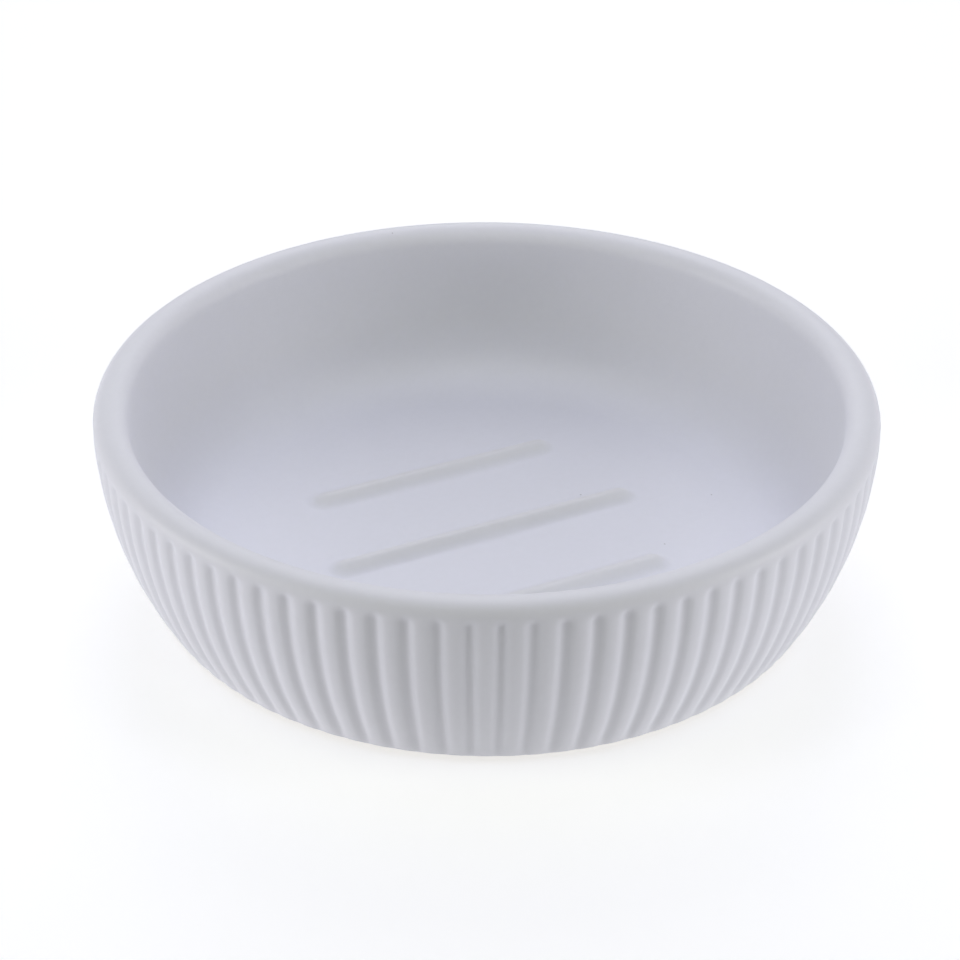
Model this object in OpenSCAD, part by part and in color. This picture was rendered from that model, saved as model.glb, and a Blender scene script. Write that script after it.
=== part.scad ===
// Round reeded soap dish: one fired ceramic body with three raised soap ribs in its well,
// standing on four stick-on anti-slip pads.
// Frame: millimetres, +Z up, origin on the table plane at the centre of the dish,
// X along the soap ribs.

/* [Dish] */
// Overall diameter across the lip
dish_d = 120; // [105:1:150]
// Height of the ceramic body, from its foot face to the top of its lip
dish_h = 31; // [27:0.5:40]
// Thickness of the wall, and of the full round that ends it as the lip
wall_t = 5.3; // [4.4:0.1:6]
// Radius of the arc that the outer wall follows from the lip down to the foot
wall_curve_r = 55.5; // [50:0.5:80]
// Radius that rounds the outer edge of the foot
foot_round_r = 2; // [1:0.1:2.6]
// Thickness of the floor over the recess in the underside
floor_t = 3.4; // [2.5:0.1:4.5]
// Radius that blends the floor of the well into its wall
well_round_r = 10; // [6:0.5:12]

/* [Foot ring] */
// Width of the flat ring left round the recess in the underside
foot_ring_w = 6; // [4:0.5:9]
// Depth of the recess inside the foot ring
recess_depth = 1; // [0.6:0.1:1.6]

/* [Flutes] */
// How many flutes run round the wall
flute_count = 88; // [60:1:96]
// Width of one flute where it meets the wall
flute_w = 2.1; // [1.4:0.1:2.4]
// Depth of one flute
flute_depth = 0.5; // [0.3:0.05:0.8]
// Height of the plain band from the top of the lip down to the ends of the flutes
plain_band_h = 2.9; // [2.6:0.1:8]

/* [Soap ribs] */
// Width of a soap rib at the floor
rib_w = 3.2; // [2.4:0.1:5]
// Height of a soap rib over the floor
rib_h = 1.5; // [0.8:0.1:1.6]
// Length of the middle rib over its round ends
rib_mid_l = 51.5; // [36:0.5:60]
// Length of each outer rib over its round ends
rib_side_l = 42; // [30:1:54]
// Distance from one rib to the next
rib_pitch = 19.5; // [12:0.5:22]

/* [Foot pads] */
// Diameter of one anti-slip pad
pad_d = 10; // [6:0.5:12]
// How far a pad stands out below the foot face
pad_stand = 0.8; // [0.4:0.1:1.5]
// Radius that softens the lower edge of a pad
pad_edge_r = 0.4; // [0.2:0.05:0.4]
// Gap between a pad and the edge of the recess
pad_margin = 2.5; // [1:0.5:6]

/* [Hidden] */
$fn = 48;
// Faces round the dish, along the arcs of its section, and round a flute, in the preview mesh
round_fn = 88;
arc_fn = 72;
tube_fn = 16;
// How far a cutting shape runs past what it cuts
overrun = 1;
// Angle between neighbouring pads, and of the first one from the ribs
pad_step = 90;
pad_start = 45;
ceramic_colour = [0.87, 0.87, 0.9];
pad_colour = [0.8, 0.8, 0.79];

// Heights over the table plane
foot_z = pad_stand;
recess_z = foot_z + recess_depth;
floor_z = recess_z + floor_t;
lip_z = foot_z + dish_h - wall_t / 2;

// Outer wall: an arc round (arc_x, lip_z), upright at the lip, rounded into the foot face
arc_x = dish_d / 2 - wall_curve_r;
foot_round_z = foot_z + foot_round_r;
foot_round_x = arc_x + leg(wall_curve_r - foot_round_r, lip_z - foot_round_z);
foot_tangent_z = lip_z - wall_curve_r * (lip_z - foot_round_z) / (wall_curve_r - foot_round_r);

// Inner wall: the same arc one wall thickness further in, rounded into the floor
inner_curve_r = wall_curve_r - wall_t;
well_round_z = floor_z + well_round_r;
well_round_x = arc_x + leg(inner_curve_r - well_round_r, lip_z - well_round_z);
well_tangent_z = lip_z - inner_curve_r * (lip_z - well_round_z) / (inner_curve_r - well_round_r);

// Underside
recess_x = foot_round_x - foot_ring_w;
pad_x = recess_x - pad_margin - pad_d / 2;
pad_t = pad_stand + recess_depth;

// Flutes: tubes bent round the wall's own arc centre, each ended by a rounder, shallower ball
flute_end_r_share = 1.15;
flute_end_depth_share = 0.9;
flute_r = chord_r(flute_w, flute_depth);
flute_path_r = wall_curve_r + flute_r - flute_depth;
flute_end_r = flute_end_r_share * flute_r;
flute_end_depth = flute_end_depth_share * flute_depth;
flute_end_l = leg(flute_end_r, flute_end_r - flute_end_depth);
flute_top_angle = -asin((plain_band_h - wall_t / 2 + flute_end_l) / flute_path_r);
flute_low_angle = -asin((lip_z - foot_z + flute_r) / flute_path_r);

// Soap ribs: round bars, sunk until they are as wide and as high as asked
rib_r = chord_r(rib_w, rib_h);

// Other leg of a right triangle
function leg(long_side, side) = sqrt(long_side * long_side - side * side);
// Radius of the circle whose segment has this chord and this height
function chord_r(chord, rise) = (chord * chord / 4 + rise * rise) / (2 * rise);

// Flat region between an arc round (arc_x, lip_z) and the axis, rounded into its level bottom
module bowl_region(curve_r, round_r, round_x, round_z, tangent_z) {
    intersection() {
        translate([arc_x, lip_z])
            circle(r = curve_r, $fn = arc_fn);
        translate([0, tangent_z])
            square([dish_d, lip_z - tangent_z]);
    }
    translate([round_x, round_z])
        circle(r = round_r, $fn = arc_fn);
    translate([0, round_z - round_r])
        square([round_x, lip_z - round_z + round_r]);
}

// Half section of the dish: outer bowl less the well and the recess, with the full-round lip
module dish_section() {
    difference() {
        bowl_region(wall_curve_r, foot_round_r, foot_round_x, foot_round_z, foot_tangent_z);
        bowl_region(inner_curve_r, well_round_r, well_round_x, well_round_z, well_tangent_z);
        translate([0, foot_z - overrun])
            square([recess_x, recess_depth + overrun]);
    }
    translate([dish_d / 2 - wall_t / 2, lip_z])
        circle(r = wall_t / 2);
}

// One flute in the XZ plane: an arc of tube that follows the wall, closed by a round end
module flute() {
    translate([arc_x, 0, lip_z])
        rotate([90, 0, 0]) {
            rotate_extrude(angle = flute_top_angle - flute_low_angle, start = flute_low_angle, $fn = arc_fn)
                translate([flute_path_r, 0])
                    circle(r = flute_r, $fn = tube_fn);
            rotate([0, 0, flute_top_angle])
                translate([wall_curve_r + flute_end_r - flute_end_depth, 0, 0])
                    sphere(r = flute_end_r, $fn = tube_fn);
        }
}

// One soap rib along X: a half-sunk round bar with ball ends
module soap_rib(length) {
    half = length / 2 - rib_w / 2;
    translate([0, 0, floor_z + rib_h - rib_r]) {
        translate([-half, 0, 0])
            rotate([0, 90, 0])
                cylinder(r = rib_r, h = 2 * half);
        for (side = [-1, 1])
            translate([side * half, 0, 0])
                sphere(r = rib_r);
    }
}

module dish() {
    color(ceramic_colour) {
        difference() {
            rotate_extrude($fn = round_fn)
                dish_section();
            for (i = [0 : flute_count - 1])
                rotate([0, 0, i * 360 / flute_count])
                    flute();
        }
        soap_rib(rib_mid_l);
        for (side = [-1, 1])
            translate([0, side * rib_pitch, 0])
                soap_rib(rib_side_l);
    }
}

// One anti-slip pad, stuck to the ceiling of the recess, its lower edge softened
module foot_pad(i) {
    color(pad_colour)
        rotate([0, 0, pad_start + i * pad_step])
            translate([pad_x, 0, 0])
                rotate_extrude() {
                    translate([0, pad_edge_r])
                        square([pad_d / 2, pad_t - pad_edge_r]);
                    square([pad_d / 2 - pad_edge_r, pad_t]);
                    translate([pad_d / 2 - pad_edge_r, pad_edge_r])
                        circle(r = pad_edge_r);
                }
}

dish();
foot_pad(0);  // foot_pad_1
foot_pad(1);  // foot_pad_2
foot_pad(2);  // foot_pad_3
foot_pad(3);  // foot_pad_4
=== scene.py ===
"""Round reeded ceramic soap dish with its foot pads, dressed round the packed frame.

Sizes are in metres and in the frame's own axes: +Z up out of the well, X along the soap ribs.
"""

import math

import bmesh
import bpy
from bpy.props import FloatProperty, FloatVectorProperty, IntProperty, PointerProperty
from bpy.types import Operator, Panel, PropertyGroup
from mathutils import Matrix, Vector


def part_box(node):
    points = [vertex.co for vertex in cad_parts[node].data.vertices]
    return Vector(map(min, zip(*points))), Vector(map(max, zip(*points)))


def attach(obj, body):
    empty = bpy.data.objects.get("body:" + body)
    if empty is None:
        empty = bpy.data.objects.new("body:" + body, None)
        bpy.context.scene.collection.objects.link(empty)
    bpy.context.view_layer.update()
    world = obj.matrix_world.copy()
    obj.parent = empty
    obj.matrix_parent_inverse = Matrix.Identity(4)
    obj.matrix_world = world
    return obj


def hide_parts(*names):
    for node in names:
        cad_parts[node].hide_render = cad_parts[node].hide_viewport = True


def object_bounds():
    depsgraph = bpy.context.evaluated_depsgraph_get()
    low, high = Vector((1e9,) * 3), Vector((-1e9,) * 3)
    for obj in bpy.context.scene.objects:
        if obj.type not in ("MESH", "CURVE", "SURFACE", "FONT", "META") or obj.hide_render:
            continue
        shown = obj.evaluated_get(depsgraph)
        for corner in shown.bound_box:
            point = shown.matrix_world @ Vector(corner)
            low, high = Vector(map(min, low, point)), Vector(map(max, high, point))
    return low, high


bl_info = {
    "name": "Reeded Soap Dish",
    "version": (1, 0, 0),
    "blender": (4, 5, 0),
    "location": "3D Viewport > Sidebar > Soap Dish",
    "description": "Makes a round reeded ceramic soap dish, its foot pads and a plain studio stage",
    "category": "Add Mesh",
}

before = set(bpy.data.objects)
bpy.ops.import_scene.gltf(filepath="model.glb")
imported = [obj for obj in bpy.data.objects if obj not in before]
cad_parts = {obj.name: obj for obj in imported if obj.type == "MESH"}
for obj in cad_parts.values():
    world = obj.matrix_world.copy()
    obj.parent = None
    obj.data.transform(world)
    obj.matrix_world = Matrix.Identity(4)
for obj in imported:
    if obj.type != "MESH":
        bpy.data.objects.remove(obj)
cad_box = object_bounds()
dish_low, dish_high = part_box("dish")
PAD_NODES = sorted(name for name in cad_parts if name.startswith("foot_pad"))

# Side of the photograph in pixels
PHOTO_SIDE = 960
# Points nearer to each other than this are merged
WELD = 1e-6
FULL_TURN = 2 * math.pi


class BodySizes(PropertyGroup):
    """Sizes of the ceramic body's section."""

    radius: FloatProperty(
        name="Radius", description="Outer radius at the lip",
        default=max(dish_high), unit="LENGTH")
    wall: FloatProperty(
        name="Wall", description="Thickness of the wall and of its full-round lip",
        default=0.0053, unit="LENGTH")
    shoulder: FloatProperty(
        name="Lip shoulder", description="How square the lip's outer shoulder is, 2 for a plain round one",
        default=2.6)
    wall_curve: FloatProperty(
        name="Wall curve", description="Radius of the arc that the outer wall follows",
        default=0.0555, unit="LENGTH")
    foot_round: FloatProperty(
        name="Foot rounding", description="Radius that rounds the outer edge of the foot",
        default=0.002, unit="LENGTH")
    foot_ring: FloatProperty(
        name="Foot ring", description="Width of the flat ring that is left round the recess",
        default=0.006, unit="LENGTH")
    recess: FloatProperty(
        name="Recess", description="Depth of the recess in the underside",
        default=0.001, unit="LENGTH")
    edge_round: FloatProperty(
        name="Recess edge", description="Radius of the glazed edges of the recess",
        default=0.0004, unit="LENGTH")
    floor: FloatProperty(
        name="Floor", description="Thickness of the floor over the recess",
        default=0.0034, unit="LENGTH")
    well_round: FloatProperty(
        name="Well rounding", description="Radius that blends the floor into the wall",
        default=0.010, unit="LENGTH")


class FluteSizes(PropertyGroup):
    """Sizes of the flutes round the wall."""

    count: IntProperty(name="Flutes", description="How many flutes run round the wall", default=88)
    steps: IntProperty(
        name="Steps", description="How many strips of faces one flute and its crest take", default=10)
    crowd: FloatProperty(
        name="Crowding", description="How far the strips are drawn in towards the flute",
        default=0.3, subtype="FACTOR")
    half_width: FloatProperty(
        name="Half width", description="From the middle of a flute to its edge",
        default=0.00130, unit="LENGTH")
    depth: FloatProperty(
        name="Depth", description="How deep a flute is below its edges", default=0.00036, unit="LENGTH")
    crown: FloatProperty(
        name="Crown", description="How far the rounded crest between flutes falls off towards them",
        default=0.00016, unit="LENGTH")
    end_drop: FloatProperty(
        name="End", description="From the top of the lip down to the centre of a flute's round end",
        default=0.00325, unit="LENGTH")
    foot_fade: FloatProperty(
        name="Foot fade", description="Height over the foot in which the flutes run out",
        default=0.003, unit="LENGTH")


class SoapRibSizes(PropertyGroup):
    """Sizes of the three raised ribs that keep the soap off the floor."""

    half_width: FloatProperty(
        name="Half width", description="From the crest of a rib to where it meets the floor",
        default=0.0029, unit="LENGTH")
    height: FloatProperty(
        name="Height", description="Height of a rib over the floor", default=0.0013, unit="LENGTH")
    mid_length: FloatProperty(
        name="Middle rib", description="Length of the middle rib over its round ends",
        default=0.0515, unit="LENGTH")
    side_length: FloatProperty(
        name="Outer ribs", description="Length of an outer rib over its round ends",
        default=0.042, unit="LENGTH")
    pitch: FloatProperty(
        name="Pitch", description="Distance from one rib to the next", default=0.0195, unit="LENGTH")


class PadSizes(PropertyGroup):
    """Finer sizes of the foot pads, whose place and outline come from the frame."""

    edge: FloatProperty(
        name="Edge", description="Radius that softens the lower edge of a pad",
        default=0.0004, unit="LENGTH")
    dish_in: FloatProperty(
        name="Hollow", description="How far the middle of a pad's grip face is drawn in",
        default=0.00008, unit="LENGTH")
    sectors: IntProperty(name="Sectors", description="Faces round one pad", default=96)


class CeramicLook(PropertyGroup):
    """Colours and finish of the glazed body."""

    glaze: FloatVectorProperty(
        name="Glaze", description="Colour of the satin-matte glaze",
        default=(0.82, 0.825, 0.885), size=3, subtype="COLOR")
    thin: FloatVectorProperty(
        name="Thin glaze",
        description="Colour of the glaze where it runs thin: well wall, lip and soap ribs",
        default=(0.806, 0.807, 0.818), size=3, subtype="COLOR")
    bisque: FloatVectorProperty(
        name="Bare foot", description="Colour of the unglazed ring that the dish was fired on",
        default=(0.66, 0.63, 0.58), size=3, subtype="COLOR")
    speck: FloatVectorProperty(
        name="Specks", description="Colour of the few pin specks in the glaze",
        default=(0.30, 0.28, 0.27), size=3, subtype="COLOR")
    roughness: FloatProperty(
        name="Roughness", description="Mean roughness of the glaze", default=0.52, subtype="FACTOR")
    mottle: FloatProperty(
        name="Mottle", description="How far the glaze varies in tone", default=0.03, subtype="FACTOR")


class PadLook(PropertyGroup):
    """Colour and finish of the foam rubber pads."""

    colour: FloatVectorProperty(
        name="Foam", description="Colour of the pads",
        default=(0.36, 0.36, 0.34), size=3, subtype="COLOR")
    roughness: FloatProperty(
        name="Roughness", description="Roughness of the foam skin", default=0.8, subtype="FACTOR")


class StageSettings(PropertyGroup):
    """Camera, floor and light."""

    azimuth: FloatProperty(
        name="Azimuth", description="Where the camera stands, round from the front",
        default=math.radians(-26.585), subtype="ANGLE")
    elevation: FloatProperty(
        name="Elevation", description="How far the camera stands above the horizon",
        default=math.radians(29.649), subtype="ANGLE")
    distance: FloatProperty(
        name="Distance", description="From the centre of the lip to the camera",
        default=0.3550, unit="LENGTH")
    pitch: FloatProperty(
        name="Pitch", description="How far the camera aims below the centre of the lip",
        default=math.radians(1.976), subtype="ANGLE")
    yaw: FloatProperty(
        name="Yaw", description="How far the camera aims to the right of the centre of the lip",
        default=math.radians(-0.183), subtype="ANGLE")
    roll: FloatProperty(
        name="Roll", description="How far the camera leans", default=math.radians(0.270), subtype="ANGLE")
    focal: FloatProperty(
        name="Focal length", description="Focal length in pixels of the photograph", default=2305.5)
    floor: FloatVectorProperty(
        name="Floor", description="Colour of the floor", default=(0.8, 0.8, 0.8), size=3, subtype="COLOR")
    floor_lift: FloatProperty(
        name="Floor lift", description="Light that the floor adds in the camera's own view", default=0.46)
    floor_glow: FloatProperty(
        name="Floor glow", description="Light that the floor throws up at the dish", default=1.05)
    glow_shade: FloatProperty(
        name="Glow shade", description="Share of that light that the dish's own shadow takes near it",
        default=0.32, subtype="FACTOR")
    shade_fade: FloatVectorProperty(
        name="Shade fade", description="Radii between which that shadow runs out",
        default=(0.09, 0.11), size=2, unit="LENGTH")
    glow_fade: FloatVectorProperty(
        name="Glow fade", description="Radii between which that light runs out",
        default=(0.17, 0.19), size=2, unit="LENGTH")
    floor_fade: FloatVectorProperty(
        name="Floor fade", description="Radii between which the floor fades into plain white",
        default=(0.25, 0.7), size=2, unit="LENGTH")
    floor_radius: FloatProperty(
        name="Floor radius", description="Radius of the round floor", default=4.0, unit="LENGTH")


class Number:
    """A number socket. Python's operators on it add Math nodes to its tree."""

    def __init__(self, net, plug):
        self.net = net
        self.plug = plug

    def __add__(self, other):
        return self.net.math("ADD", self, other)

    def __sub__(self, other):
        return self.net.math("SUBTRACT", self, other)

    def __rsub__(self, other):
        return self.net.math("SUBTRACT", other, self)

    def __mul__(self, other):
        return self.net.math("MULTIPLY", self, other)

    def __truediv__(self, other):
        return self.net.math("DIVIDE", self, other)

    def __pow__(self, other):
        return self.net.math("POWER", self, other)

    def __lt__(self, other):
        return self.net.math("LESS_THAN", self, other)

    def __gt__(self, other):
        return self.net.math("GREATER_THAN", self, other)

    def __abs__(self):
        return self.net.math("ABSOLUTE", self)

    __radd__ = __add__
    __rmul__ = __mul__


class Net:
    """Adds nodes and links to one node tree."""

    def __init__(self, tree):
        self.tree = tree

    def node(self, kind, settings=None, sockets=None):
        """A node of this type, with its settings made first and its sockets fed by name or place."""
        made = self.tree.nodes.new(kind)
        for name, value in (settings or {}).items():
            setattr(made, name, value)
        for name, value in (sockets or {}).items():
            self.feed(made.inputs[name], value)
        return made

    def feed(self, plug, value):
        """Links a socket, or sets its own value."""
        if isinstance(value, Number):
            value = value.plug
        if isinstance(value, bpy.types.NodeSocket):
            self.tree.links.new(value, plug)
        else:
            plug.default_value = value

    def math(self, operation, *values):
        """A Math node's result as a Number."""
        made = self.node("ShaderNodeMath", {"operation": operation}, dict(enumerate(values)))
        return Number(self, made.outputs[0])

    def least(self, one, other):
        return self.math("MINIMUM", one, other)

    def most(self, one, other):
        return self.math("MAXIMUM", one, other)

    def unit(self, value):
        """The value held between 0 and 1."""
        return self.least(self.most(value, 0.0), 1.0)

    def hill(self, distance, reach):
        """1 at no distance, falling as half a cosine wave to 0 at this reach."""
        return self.math("COSINE", self.unit(distance / reach) * math.pi) * 0.5 + 0.5

    def length(self, one, other):
        """Length of a vector with these two parts."""
        return self.math("SQRT", one * one + other * other)

    def mix(self, share, one, other, blend="MIX"):
        """A colour mixed from two. Its sockets go by place, because their names repeat."""
        made = self.node(
            "ShaderNodeMix", {"data_type": "RGBA", "blend_type": blend}, {0: share, 6: one, 7: other})
        return made.outputs[2]


def opaque(colour):
    return (*colour, 1.0)


def leg(long_side, side):
    """The other leg of a right triangle."""
    return math.sqrt(long_side ** 2 - side ** 2)


def line(start, end, steps):
    """Points from start to end, without start."""
    start, end = Vector(start), Vector(end)
    return [tuple(start.lerp(end, i / steps)) for i in range(1, steps + 1)]


def arc(centre, radius, first, last, steps):
    """Points of an arc about a centre in the section's plane, without the first one."""
    angles = [first + (last - first) * i / steps for i in range(1, steps + 1)]
    return [(centre[0] + radius * math.cos(a), centre[1] + radius * math.sin(a)) for a in angles]


def shoulder(centre, radius, power, steps):
    """Points from a lip's side up to its top: a round one at power 2, a squarer one above it."""
    turns = [math.pi / 2 * i / steps for i in range(1, steps + 1)]
    return [(centre[0] + radius * max(math.cos(t), 0.0) ** (2 / power),
             centre[1] + radius * math.sin(t) ** (2 / power)) for t in turns]


def add_object(name, data):
    """A new object in the scene, with this data."""
    made = bpy.data.objects.new(name, data)
    bpy.context.scene.collection.objects.link(made)
    return made


def section_object(name, runs):
    """A section drawn as one chain of edges. Each run is its points and its marks by name."""
    points = [point for run, marks in runs for point in run]
    mesh = bpy.data.meshes.new(name)
    mesh.from_pydata(
        [(x, 0.0, z) for x, z in points], [(i, i + 1) for i in range(len(points) - 1)], [])
    for mark in {key for run, marks in runs for key in marks}:
        values = [marks.get(mark, 0.0) for run, marks in runs for point in run]
        mesh.attributes.new(mark, "FLOAT", "POINT").data.foreach_set("value", values)
    return add_object(name, mesh)


# How many faces each stretch of the body's section takes
SECTION_STEPS = {
    "recess edge": 3, "foot round": 7, "wall": 13, "wall top": 10, "lip outside": 12, "lip inside": 7,
    "well wall": 9, "well round": 8, "floor rim": 2, "ribbed floor": 40,
}
# Share of the wall's arc, from the lip down, that has the closer faces of the flutes' ends
WALL_TOP_SHARE = 1 / 6
# Radius inside which the floor of the well is fine enough to carry the soap ribs
RIBBED_RADIUS = 0.031


def body_runs(body):
    """The dish's section, from the axis under the recess round to the axis on the floor."""
    steps = SECTION_STEPS
    foot_z = dish_low.z
    lip_z = dish_high.z - body.wall / 2
    arc_x = body.radius - body.wall_curve
    inner_curve = body.wall_curve - body.wall
    foot_round_z = foot_z + body.foot_round
    foot_round_x = arc_x + leg(body.wall_curve - body.foot_round, lip_z - foot_round_z)
    foot_angle = -math.atan2(lip_z - foot_round_z, foot_round_x - arc_x)
    recess_x = foot_round_x - body.foot_ring
    recess_z = foot_z + body.recess
    floor_z = recess_z + body.floor
    well_round_z = floor_z + body.well_round
    well_round_x = arc_x + leg(inner_curve - body.well_round, lip_z - well_round_z)
    well_angle = -math.atan2(lip_z - well_round_z, well_round_x - arc_x)
    edge = body.edge_round
    right, quarter = 0.0, math.pi / 2
    recess = [(0.0, recess_z)]
    recess += line(recess[0], (recess_x - edge, recess_z), 1)
    recess += arc((recess_x - edge, recess_z - edge), edge, quarter, right, steps["recess edge"])
    recess += arc((recess_x + edge, foot_z + edge), edge, math.pi, 3 * quarter, steps["recess edge"])
    foot = line((recess_x + edge, foot_z), (foot_round_x, foot_z), 1)
    foot += arc((foot_round_x, foot_round_z), body.foot_round, -quarter, foot_angle, steps["foot round"])
    top_angle = foot_angle * WALL_TOP_SHARE
    wall = arc((arc_x, lip_z), body.wall_curve, foot_angle, top_angle, steps["wall"])
    wall += arc((arc_x, lip_z), body.wall_curve, top_angle, right, steps["wall top"])
    lip_centre = (body.radius - body.wall / 2, lip_z)
    lip_out = shoulder(lip_centre, body.wall / 2, body.shoulder, steps["lip outside"])
    well = arc(lip_centre, body.wall / 2, quarter, math.pi, steps["lip inside"])
    well += arc((arc_x, lip_z), inner_curve, right, well_angle, steps["well wall"])
    well += arc((well_round_x, well_round_z), body.well_round, well_angle, -quarter, steps["well round"])
    well += line((well_round_x, floor_z), (RIBBED_RADIUS, floor_z), steps["floor rim"])
    floor = line((RIBBED_RADIUS, floor_z), (0.0, floor_z), steps["ribbed floor"])
    return [(recess, {}), (foot + wall + lip_out, {"fluted": 1.0}),
            (well, {"well": 1.0}), (floor, {"ribbed": 1.0})]


def group_input(net, tree, inputs):
    """Adds a tree's inputs, given as (name, socket type), and returns their sockets by name."""
    tree.interface.new_socket("Geometry", in_out="INPUT", socket_type="NodeSocketGeometry")
    for name, kind in inputs:
        tree.interface.new_socket(name, in_out="INPUT", socket_type=kind)
    tree.interface.new_socket("Geometry", in_out="OUTPUT", socket_type="NodeSocketGeometry")
    return net.node("NodeGroupInput").outputs


def read(net, name):
    """A named number of each point."""
    made = net.node(
        "GeometryNodeInputNamedAttribute", {"data_type": "FLOAT"}, {"Name": name})
    return Number(net, made.outputs["Attribute"])


def store(net, geometry, name, value):
    """The geometry, with a number written on each point."""
    made = net.node(
        "GeometryNodeStoreNamedAttribute", {"data_type": "FLOAT", "domain": "POINT"},
        {"Geometry": geometry, "Name": name, "Value": value})
    return made.outputs[0]


def sweep(net, section, sectors):
    """Sweeps the section round the axis. Each point keeps its section place and its turn."""
    place = net.node("ShaderNodeSeparateXYZ", None, {0: net.node("GeometryNodeInputPosition").outputs[0]})
    drawn = store(net, section, "section_x", Number(net, place.outputs["X"]))
    drawn = store(net, drawn, "section_z", Number(net, place.outputs["Z"]))
    drawn = net.node("GeometryNodeMeshToCurve", None, {"Mesh": drawn}).outputs[0]
    circle = net.node("GeometryNodeCurvePrimitiveCircle", {"mode": "RADIUS"}, {"Resolution": sectors})
    index = Number(net, net.node("GeometryNodeInputIndex").outputs[0])
    ring = store(net, circle.outputs["Curve"], "turn", index / Number(net, sectors))
    swept = net.node(
        "GeometryNodeCurveToMesh", None, {"Curve": ring, "Profile Curve": drawn, "Fill Caps": False})
    return swept.outputs[0]


def place_points(net, geometry, radius, angle, height):
    """Moves each point to its place round the axis."""
    spot = net.node("ShaderNodeCombineXYZ", None, {
        0: radius * net.math("COSINE", angle),
        1: radius * net.math("SINE", angle),
        2: height})
    return net.node(
        "GeometryNodeSetPosition", None, {"Geometry": geometry, "Position": spot.outputs[0]}).outputs[0]


def close_up(net, geometry, material):
    """Welds the seam and the poles, shades smooth and sets the material."""
    welded = net.node("GeometryNodeMergeByDistance", None, {"Geometry": geometry, "Distance": WELD})
    smooth = net.node("GeometryNodeSetShadeSmooth", None, {"Geometry": welded.outputs[0]})
    real = net.node("GeometryNodeRealizeInstances", None, {"Geometry": smooth.outputs[0]})
    made = net.node(
        "GeometryNodeSetMaterial", None, {"Geometry": real.outputs[0], "Material": material})
    net.node("NodeGroupOutput", None, {0: made.outputs[0]})


# Inputs of the body's tree
BODY_INPUTS = [
    ("Flutes", "NodeSocketInt"), ("Steps", "NodeSocketInt"), ("Crowding", "NodeSocketFloat"),
    ("Lip radius", "NodeSocketFloat"), ("Flute half width", "NodeSocketFloat"),
    ("Flute depth", "NodeSocketFloat"), ("Crown", "NodeSocketFloat"),
    ("Flute end height", "NodeSocketFloat"),
    ("Foot height", "NodeSocketFloat"), ("Foot fade", "NodeSocketFloat"),
    ("Rib half width", "NodeSocketFloat"), ("Rib height", "NodeSocketFloat"),
    ("Middle rib reach", "NodeSocketFloat"), ("Outer rib reach", "NodeSocketFloat"),
    ("Rib pitch", "NodeSocketFloat"), ("Material", "NodeSocketMaterial"),
]


# Power that softens a flute's edges
FLUTE_SOFTNESS = 1.75
# How far past a flute's end its crests still fall off, in half widths of the flute
CREST_END = 1.5


def body_tree():
    """The tree that turns the dish's section into a fluted, ribbed body."""
    tree = bpy.data.node_groups.new("Reeded body", "GeometryNodeTree")
    net = Net(tree)
    given = group_input(net, tree, BODY_INPUTS)
    size = {name: Number(net, given[name]) for name, kind in BODY_INPUTS}
    swept = sweep(net, given["Geometry"], (size["Flutes"] * size["Steps"]).plug)

    raw_angle = read(net, "turn") * FULL_TURN
    pull = net.math("SINE", raw_angle * size["Flutes"]) * size["Crowding"] / size["Flutes"]
    angle = raw_angle - pull
    pitches = angle * size["Flutes"] / FULL_TURN
    off_centre = abs(net.math("WRAP", pitches, 0.5, -0.5))
    across = off_centre * size["Lip radius"] * FULL_TURN / size["Flutes"]
    height = read(net, "section_z")
    past_end = net.most(height - size["Flute end height"], 0.0)
    fade = net.unit((height - size["Foot height"]) / size["Foot fade"]) * read(net, "fluted")
    inside = 1.0 - (net.length(across, past_end) / size["Flute half width"]) ** 2.0
    flute = net.unit(inside) ** FLUTE_SOFTNESS * fade
    crown = net.hill(off_centre, 0.5) * net.hill(past_end, size["Flute half width"] * CREST_END) * fade
    radius = read(net, "section_x") - flute * size["Flute depth"] - crown * size["Crown"]

    along = abs(radius * net.math("COSINE", angle))
    beside = abs(radius * net.math("SINE", angle))
    outer = beside > size["Rib pitch"] * 0.5
    reach = outer * size["Outer rib reach"] + (1.0 - outer) * size["Middle rib reach"]
    from_line = abs(beside - outer * size["Rib pitch"])
    rib = net.hill(
        net.length(net.most(along - reach, 0.0), from_line), size["Rib half width"]) * read(net, "ribbed")

    placed = place_points(net, swept, radius, angle, height + rib * size["Rib height"])
    # The flute mark carries the painted shade in the flutes over to the material
    toned = store(net, placed, "flute", flute)
    close_up(net, store(net, toned, "soap_rib", rib), given["Material"])
    return tree


# Inputs of the tree for plain round solids
LATHE_INPUTS = [("Sectors", "NodeSocketInt"), ("Material", "NodeSocketMaterial")]


def lathe_tree():
    """The tree that turns a plain section into a round solid."""
    tree = bpy.data.node_groups.new("Lathe", "GeometryNodeTree")
    net = Net(tree)
    given = group_input(net, tree, LATHE_INPUTS)
    swept = sweep(net, given["Geometry"], given["Sectors"])
    angle = read(net, "turn") * FULL_TURN
    placed = place_points(net, swept, read(net, "section_x"), angle, read(net, "section_z"))
    close_up(net, placed, given["Material"])
    return tree


def grow(section, tree, values, name):
    """Runs a tree on a section and returns the result as a plain piece under this name."""
    modifier = section.modifiers.new("Grow", "NODES")
    modifier.node_group = tree
    for item in tree.interface.items_tree:
        if item.in_out == "INPUT" and item.name in values:
            modifier[item.identifier] = values[item.name]
    section.update_tag()
    graph = bpy.context.evaluated_depsgraph_get()
    mesh = bpy.data.meshes.new_from_object(section.evaluated_get(graph))
    section.modifiers.remove(modifier)
    bpy.data.objects.remove(section)
    mesh.name = name
    face_out(mesh)
    return add_object(name, mesh)


def face_out(mesh):
    """Points every face of a closed mesh outwards."""
    shape = bmesh.new()
    shape.from_mesh(mesh)
    bmesh.ops.recalc_face_normals(shape, faces=shape.faces)
    shape.to_mesh(mesh)
    shape.free()


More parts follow.
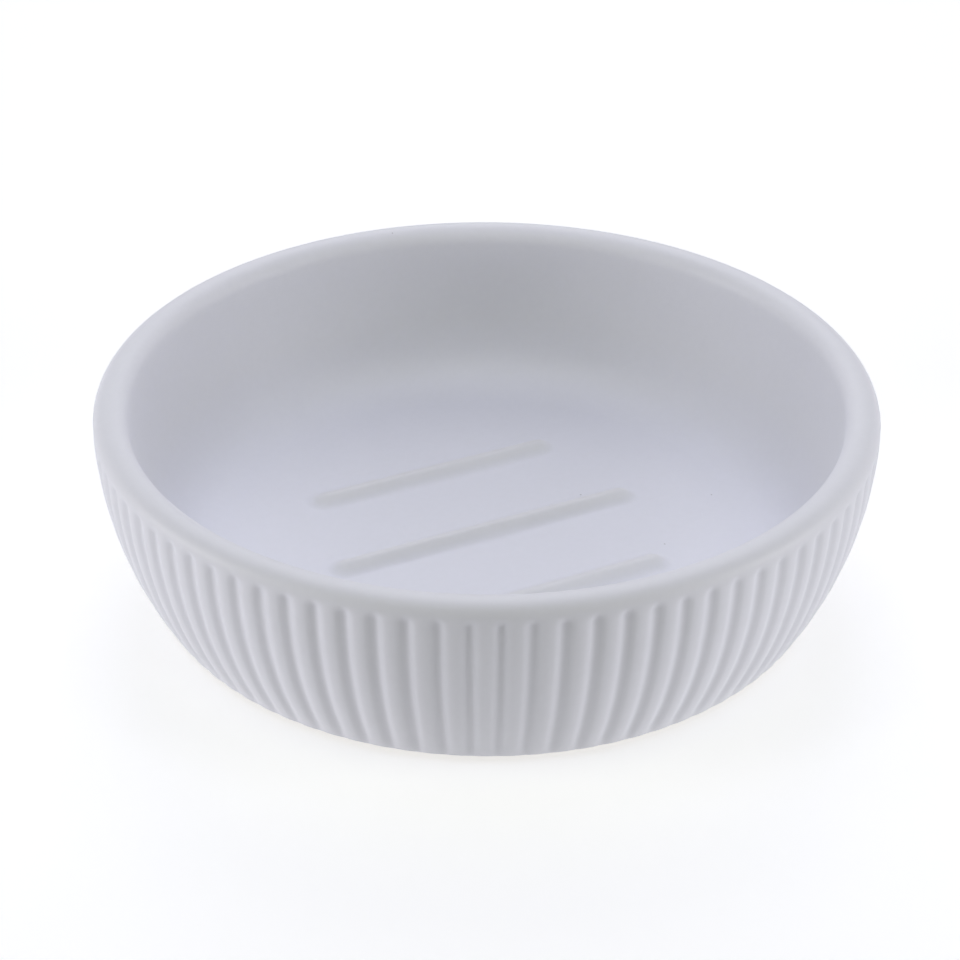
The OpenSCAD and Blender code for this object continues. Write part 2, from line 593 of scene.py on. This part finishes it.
def new_material(name):
    """An empty material, its net and its output's surface socket."""
    made = bpy.data.materials.new(name)
    made.use_nodes = True
    made.node_tree.nodes.clear()
    net = Net(made.node_tree)
    return made, net, net.node("ShaderNodeOutputMaterial").inputs["Surface"]


def carried(net, name):
    """A number that the mesh carries on its points under this name."""
    return Number(net, net.node("ShaderNodeAttribute", {"attribute_name": name}).outputs["Fac"])


def noise(net, place, scale, detail=3.0, roughness=0.5):
    """A smooth random number from 0 to 1."""
    made = net.node("ShaderNodeTexNoise", None, {
        "Vector": place, "Scale": scale, "Detail": detail, "Roughness": roughness})
    return Number(net, made.outputs["Fac"])


def bump(net, height):
    """A normal that follows a relief, whose height is in metres."""
    made = net.node("ShaderNodeBump", None, {"Strength": 1.0, "Distance": 1.0, "Height": height})
    return made.outputs[0]


# Cells to the metre, of which this share hold a pin speck, its radius and how strongly it shows
SPECK_CELLS = 210.0
SPECK_SHARE = 0.07
SPECK_RADIUS = 0.00016
SPECK_STRENGTH = 0.45
# Painted shade: how much darker the glaze is painted at the bottom of a flute, standing in for the shade
# that falls there
FLUTE_PAINTED_SHADE = 0.03
# The thin glaze: how far down from the top of the lip it reaches, the height over the foot at which
# it starts up the well's wall, the height over which it comes in there, and its share on both
THIN_LIP = 0.0018
THIN_WALL_START = 0.006
THIN_WALL_RISE = 0.009
THIN_SHARE = 0.6
# Power that widens the thin glaze down the sides of the soap ribs
THIN_RIB_POWER = 0.6
# Height over the foot up to which the body is bare, and how far that edge wanders
BARE_HEIGHT = 0.00022
BARE_WANDER = 0.0003
# Scales of the glaze's patterns, in waves to the metre
GLAZE_SCALES = {"cloud": 45.0, "ripple": 140.0, "bare edge": 500.0, "grain": 900.0, "grit": 2600.0}
# How far they change its roughness
GLAZE_ROUGHNESS = {"cloud": 0.10, "grain": 0.06, "bare": 0.3}
# Heights of its relief in metres
GLAZE_RELIEF = {"ripple": 0.00003, "grain": 0.000012, "speck": 0.00002, "grit": 0.00006}


def ceramic_material(look, foot_z, lip_top):
    """Satin-matte glaze with a faint mottle, pin specks and painted shade in the flutes, left off the ring
    it was fired on.
    """
    made, net, surface = new_material("glazed ceramic")
    place = net.node("ShaderNodeTexCoord").outputs["Object"]
    height = Number(net, net.node("ShaderNodeSeparateXYZ", None, {0: place}).outputs["Z"])

    scales, relief, change = GLAZE_SCALES, GLAZE_RELIEF, GLAZE_ROUGHNESS
    cloud = noise(net, place, scales["cloud"])
    grain = noise(net, place, scales["grain"], detail=2.0)
    ripple = noise(net, place, scales["ripple"])
    cells = net.node(
        "ShaderNodeTexVoronoi", None, {"Vector": place, "Scale": SPECK_CELLS, "Randomness": 1.0})
    chance = Number(net, net.node("ShaderNodeSeparateColor", None, {0: cells.outputs["Color"]}).outputs[0])
    near = Number(net, cells.outputs["Distance"]) < SPECK_RADIUS * SPECK_CELLS
    speck = near * (chance > 1.0 - SPECK_SHARE)

    tone = 1.0 + (cloud - 0.5) * look.mottle * 2 + (grain - 0.5) * look.mottle
    # Painted shade: the tone is darkened towards the bottom of each flute, where shade falls
    tone = tone - carried(net, "flute") * FLUTE_PAINTED_SHADE
    on_lip = net.unit(1.0 - (lip_top - height) / THIN_LIP)
    up_wall = carried(net, "well") * net.unit((height - foot_z - THIN_WALL_START) / THIN_WALL_RISE)
    thin = net.most(carried(net, "soap_rib") ** THIN_RIB_POWER, net.most(on_lip, up_wall) * THIN_SHARE)
    glaze = net.mix(thin, opaque(look.glaze), opaque(look.thin))
    grey = net.node("ShaderNodeCombineColor", None, {0: tone, 1: tone, 2: tone}).outputs[0]
    toned = net.mix(1.0, glaze, grey, "MULTIPLY")
    glazed = net.mix(speck * SPECK_STRENGTH, toned, opaque(look.speck))

    edge = foot_z + BARE_HEIGHT + (noise(net, place, scales["bare edge"]) - 0.5) * BARE_WANDER
    bare = height < edge
    grit = noise(net, place, scales["grit"], detail=4.0, roughness=0.7)
    colour = net.mix(bare, glazed, opaque(look.bisque))
    rough = look.roughness + (cloud - 0.5) * change["cloud"] + (grain - 0.5) * change["grain"]
    glaze_height = grain * relief["grain"] + ripple * relief["ripple"] - speck * relief["speck"]
    shader = net.node("ShaderNodeBsdfPrincipled", None, {
        "Base Color": colour,
        "Roughness": rough + bare * change["bare"],
        "IOR": 1.5,
        "Normal": bump(net, glaze_height + bare * grit * relief["grit"])})
    net.feed(surface, shader.outputs[0])
    return made


# Pores of the foam to the metre, their depth in metres, how much of the light they keep and how
# strongly they show
PORE_SCALE = 2600.0
PORE_DEPTH = 0.00009
PORE_SHADE = 0.72
PORE_STRENGTH = 0.3
# Dust in the foam: its waves to the metre, how strongly it shows and how far it changes the roughness
DUST_SCALE = 350.0
DUST_STRENGTH = 0.5
DUST_ROUGHNESS = 0.12


def foam_material(look):
    """Closed-cell foam rubber: fine pores and a little dust in them."""
    made, net, surface = new_material("foam rubber")
    place = net.node("ShaderNodeTexCoord").outputs["Object"]
    pores = net.node("ShaderNodeTexVoronoi", None, {"Vector": place, "Scale": PORE_SCALE})
    pore = Number(net, pores.outputs["Distance"])
    dust = noise(net, place, DUST_SCALE)
    shaded = [channel * PORE_SHADE for channel in look.colour]
    colour = net.mix(dust * DUST_STRENGTH + pore * PORE_STRENGTH, opaque(look.colour), opaque(shaded))
    shader = net.node("ShaderNodeBsdfPrincipled", None, {
        "Base Color": colour,
        "Roughness": look.roughness + (dust - 0.5) * DUST_ROUGHNESS,
        "Normal": bump(net, pore * PORE_DEPTH)})
    net.feed(surface, shader.outputs[0])
    return made


class SOAPDISH_OT_body(Operator):
    """Make the glazed ceramic body"""

    bl_idname = "soapdish.body"
    bl_label = "Ceramic body"

    def execute(self, context):
        scene = context.scene
        body, flutes, ribs = scene.dish_body, scene.dish_flutes, scene.dish_ribs
        piece = grow(section_object("body section", body_runs(body)), body_tree(), {
            "Flutes": flutes.count,
            "Steps": flutes.steps,
            "Crowding": flutes.crowd,
            "Lip radius": body.radius,
            "Flute half width": flutes.half_width,
            "Flute depth": flutes.depth,
            "Crown": flutes.crown,
            "Flute end height": dish_high.z - flutes.end_drop,
            "Foot height": dish_low.z,
            "Foot fade": flutes.foot_fade,
            "Rib half width": ribs.half_width,
            "Rib height": ribs.height,
            "Middle rib reach": (ribs.mid_length - ribs.half_width) / 2,
            "Outer rib reach": (ribs.side_length - ribs.half_width) / 2,
            "Rib pitch": ribs.pitch,
            "Material": ceramic_material(scene.dish_ceramic, dish_low.z, dish_high.z),
        }, "ceramic_body")
        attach(piece, "root")
        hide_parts("dish")
        return {"FINISHED"}


# Share of a pad's flat grip face inside which its hollow lies, and of the hollow's depth at its edge
HOLLOW_REACH = 0.8
HOLLOW_EDGE = 0.25
# How many faces each stretch of a pad's section takes
PAD_STEPS = {"hollow": 6, "rim": 2, "edge": 6, "side": 3, "top": 3}


class SOAPDISH_OT_pads(Operator):
    """Make the anti-slip pads in the recess of the underside"""

    bl_idname = "soapdish.pads"
    bl_label = "Foot pads"

    def execute(self, context):
        sizes = context.scene.dish_pads
        tree = lathe_tree()
        foam = foam_material(context.scene.dish_foam)
        for node in PAD_NODES:
            low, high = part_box(node)
            centre = (low + high) / 2
            radius = (high.x - low.x) / 2
            rim = radius - sizes.edge
            grip = [(0.0, low.z + sizes.dish_in)]
            hollow_edge = (rim * HOLLOW_REACH, low.z + sizes.dish_in * HOLLOW_EDGE)
            grip += line(grip[0], hollow_edge, PAD_STEPS["hollow"])
            grip += line(grip[-1], (rim, low.z), PAD_STEPS["rim"])
            side = arc((rim, low.z + sizes.edge), sizes.edge, -math.pi / 2, 0.0, PAD_STEPS["edge"])
            side += line(side[-1], (radius, high.z), PAD_STEPS["side"])
            top = line((radius, high.z), (0.0, high.z), PAD_STEPS["top"])
            piece = grow(
                section_object("pad section", [(grip + side + top, {})]), tree,
                {"Sectors": sizes.sectors, "Material": foam}, node.replace("foot_pad", "grip_pad"))
            piece.data.transform(Matrix.Translation((centre.x, centre.y, 0.0)))
            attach(piece, "root")
            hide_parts(node)
        return {"FINISHED"}


# Softboxes: name, turn from the camera's own side and height, both in degrees, distance, side,
# power, colour
SOFTBOXES = (
    ("left light", -80.0, 6.0, 0.70, 0.30, 2.30, (0.96, 0.95, 1.0)),
    ("right light", 80.0, 6.0, 0.70, 0.30, 2.12, (0.96, 0.95, 1.0)),
    ("left high light", -46.0, 62.0, 0.70, 0.45, 0.97, (0.97, 0.99, 0.89)),
    ("right high light", 46.0, 62.0, 0.70, 0.45, 0.95, (0.97, 0.99, 0.89)),
    ("back light", 180.0, 38.0, 0.70, 0.45, 1.56, (0.94, 0.94, 1.0)),
    ("top light", 180.0, 75.0, 0.70, 0.45, 0.98, (0.65, 0.66, 1.0)),
)


def round_place(turn, rise, distance):
    """A place round the dish: turn from the front, rise above the horizon."""
    return Vector((
        math.sin(turn) * math.cos(rise), -math.cos(turn) * math.cos(rise), math.sin(rise))) * distance


def aim(made, direction, roll=0.0):
    """Turns a camera or light, whose own axis is -Z, to look along a direction."""
    turned = direction.to_track_quat("-Z", "Y").to_matrix().to_4x4()
    made.matrix_world = Matrix.Translation(made.location) @ turned @ Matrix.Rotation(roll, 4, "Z")


def add_camera(stage, target):
    """The camera, at the photograph's viewing angle."""
    data = bpy.data.cameras.new("photo camera")
    data.sensor_width = 36.0
    data.lens = stage.focal / PHOTO_SIDE * data.sensor_width
    data.clip_start = 0.01
    camera = add_object("photo camera", data)
    camera.location = target + round_place(stage.azimuth, stage.elevation, stage.distance)
    heading = stage.azimuth - stage.yaw
    aim(camera, -round_place(heading, stage.elevation + stage.pitch, 1.0), stage.roll)
    bpy.context.scene.camera = camera


def add_softbox(stage, target, name, turn, rise, distance, side, power, colour):
    """One square soft light that looks at the dish."""
    data = bpy.data.lights.new(name, "AREA")
    data.shape = "SQUARE"
    data.size = side
    data.energy = power
    data.color = colour
    light = add_object(name, data)
    away = round_place(stage.azimuth + math.radians(turn), math.radians(rise), distance)
    light.location = target + away
    aim(light, -away)


def seen_directly(net):
    """1 on the camera's rays and on those that a mirror or glass passes on."""
    path = net.node("ShaderNodeLightPath").outputs
    seen = [Number(net, path[name]) for name in ("Is Camera Ray", "Is Glossy Ray", "Is Transmission Ray")]
    return net.unit(seen[0] + seen[1] + seen[2])


def floor_material(stage):
    """A pale floor that looks white, keeps the dish's shadow and is clear from below."""
    made, net, surface = new_material("pale floor")
    seen = seen_directly(net)
    place = net.node("ShaderNodeSeparateXYZ", None, {0: net.node("ShaderNodeTexCoord").outputs["Object"]})
    away = net.length(Number(net, place.outputs["X"]), Number(net, place.outputs["Y"]))
    plain = net.node("ShaderNodeBsdfDiffuse", None, {"Color": opaque(stage.floor)})
    lift = net.node("ShaderNodeEmission", None, {"Strength": stage.floor_lift})
    lifted = net.node("ShaderNodeAddShader", None, {0: plain.outputs[0], 1: lift.outputs[0]})

    def past(fade):
        """0 nearer than the first radius, 1 past the second one."""
        return net.unit((away - fade[0]) / (fade[1] - fade[0]))

    shade = (1.0 - past(stage.shade_fade)) * stage.glow_shade
    glow = net.node("ShaderNodeEmission", None, {
        "Strength": (1.0 - past(stage.glow_fade)) * (1.0 - shade) * stage.floor_glow})
    white = net.node("ShaderNodeEmission", None, {"Strength": 1.0})
    faded = net.node("ShaderNodeMixShader", None, {
        0: past(stage.floor_fade), 1: lifted.outputs[0], 2: white.outputs[0]})
    told = net.node("ShaderNodeMixShader", None, {0: seen, 1: glow.outputs[0], 2: faded.outputs[0]})
    below = net.node("ShaderNodeNewGeometry").outputs["Backfacing"]
    clear = net.node("ShaderNodeBsdfTransparent")
    sided = net.node("ShaderNodeMixShader", None, {0: below, 1: told.outputs[0], 2: clear.outputs[0]})
    net.feed(surface, sided.outputs[0])
    return made


def add_floor(stage):
    """A round floor under the pads."""
    mesh = bpy.data.meshes.new("floor")
    shape = bmesh.new()
    bmesh.ops.create_circle(shape, cap_ends=True, segments=64, radius=stage.floor_radius)
    shape.to_mesh(mesh)
    shape.free()
    mesh.transform(Matrix.Translation((0.0, 0.0, cad_box[0].z)))
    mesh.materials.append(floor_material(stage))
    add_object("floor", mesh)


def add_world():
    """White where it is seen directly, and no light of its own."""
    world = bpy.data.worlds.new("studio")
    world.use_nodes = True
    world.node_tree.nodes.clear()
    net = Net(world.node_tree)
    sky = net.node("ShaderNodeBackground", None, {
        "Color": opaque((1.0, 1.0, 1.0)), "Strength": seen_directly(net)})
    net.node("ShaderNodeOutputWorld", None, {"Surface": sky.outputs[0]})
    bpy.context.scene.world = world


class SOAPDISH_OT_stage(Operator):
    """Make the floor, the soft light and the camera"""

    bl_idname = "soapdish.stage"
    bl_label = "Stage"

    def execute(self, context):
        stage = context.scene.dish_stage
        lip_centre = Vector((0.0, 0.0, dish_high.z - context.scene.dish_body.wall / 2))
        add_camera(stage, lip_centre)
        for softbox in SOFTBOXES:
            add_softbox(stage, lip_centre, *softbox)
        add_floor(stage)
        add_world()
        context.scene.view_settings.view_transform = "Standard"
        return {"FINISHED"}


class SOAPDISH_PT_panel(Panel):
    """Lists the dish's pieces and their sizes"""

    bl_label = "Soap Dish"
    bl_idname = "SOAPDISH_PT_panel"
    bl_space_type = "VIEW_3D"
    bl_region_type = "UI"
    bl_category = "Soap Dish"

    def draw(self, context):
        for operator in OPERATORS:
            self.layout.operator(operator.bl_idname)
        for name, group in GROUPS.items():
            box = self.layout.box()
            box.label(text=group.__doc__)
            for prop in group.__annotations__:
                box.prop(getattr(context.scene, name), prop)


GROUPS = {
    "dish_body": BodySizes,
    "dish_flutes": FluteSizes,
    "dish_ribs": SoapRibSizes,
    "dish_pads": PadSizes,
    "dish_ceramic": CeramicLook,
    "dish_foam": PadLook,
    "dish_stage": StageSettings,
}
OPERATORS = (SOAPDISH_OT_body, SOAPDISH_OT_pads, SOAPDISH_OT_stage)


def register():
    for name, group in GROUPS.items():
        bpy.utils.register_class(group)
        setattr(bpy.types.Scene, name, PointerProperty(type=group))
    for made in (*OPERATORS, SOAPDISH_PT_panel):
        bpy.utils.register_class(made)


def unregister():
    for made in (SOAPDISH_PT_panel, *reversed(OPERATORS)):
        bpy.utils.unregister_class(made)
    for name, group in reversed(GROUPS.items()):
        delattr(bpy.types.Scene, name)
        bpy.utils.unregister_class(group)


def main():
    register()
    bpy.ops.soapdish.stage()
    bpy.ops.soapdish.body()
    bpy.ops.soapdish.pads()


if __name__ == "__main__":
    main()
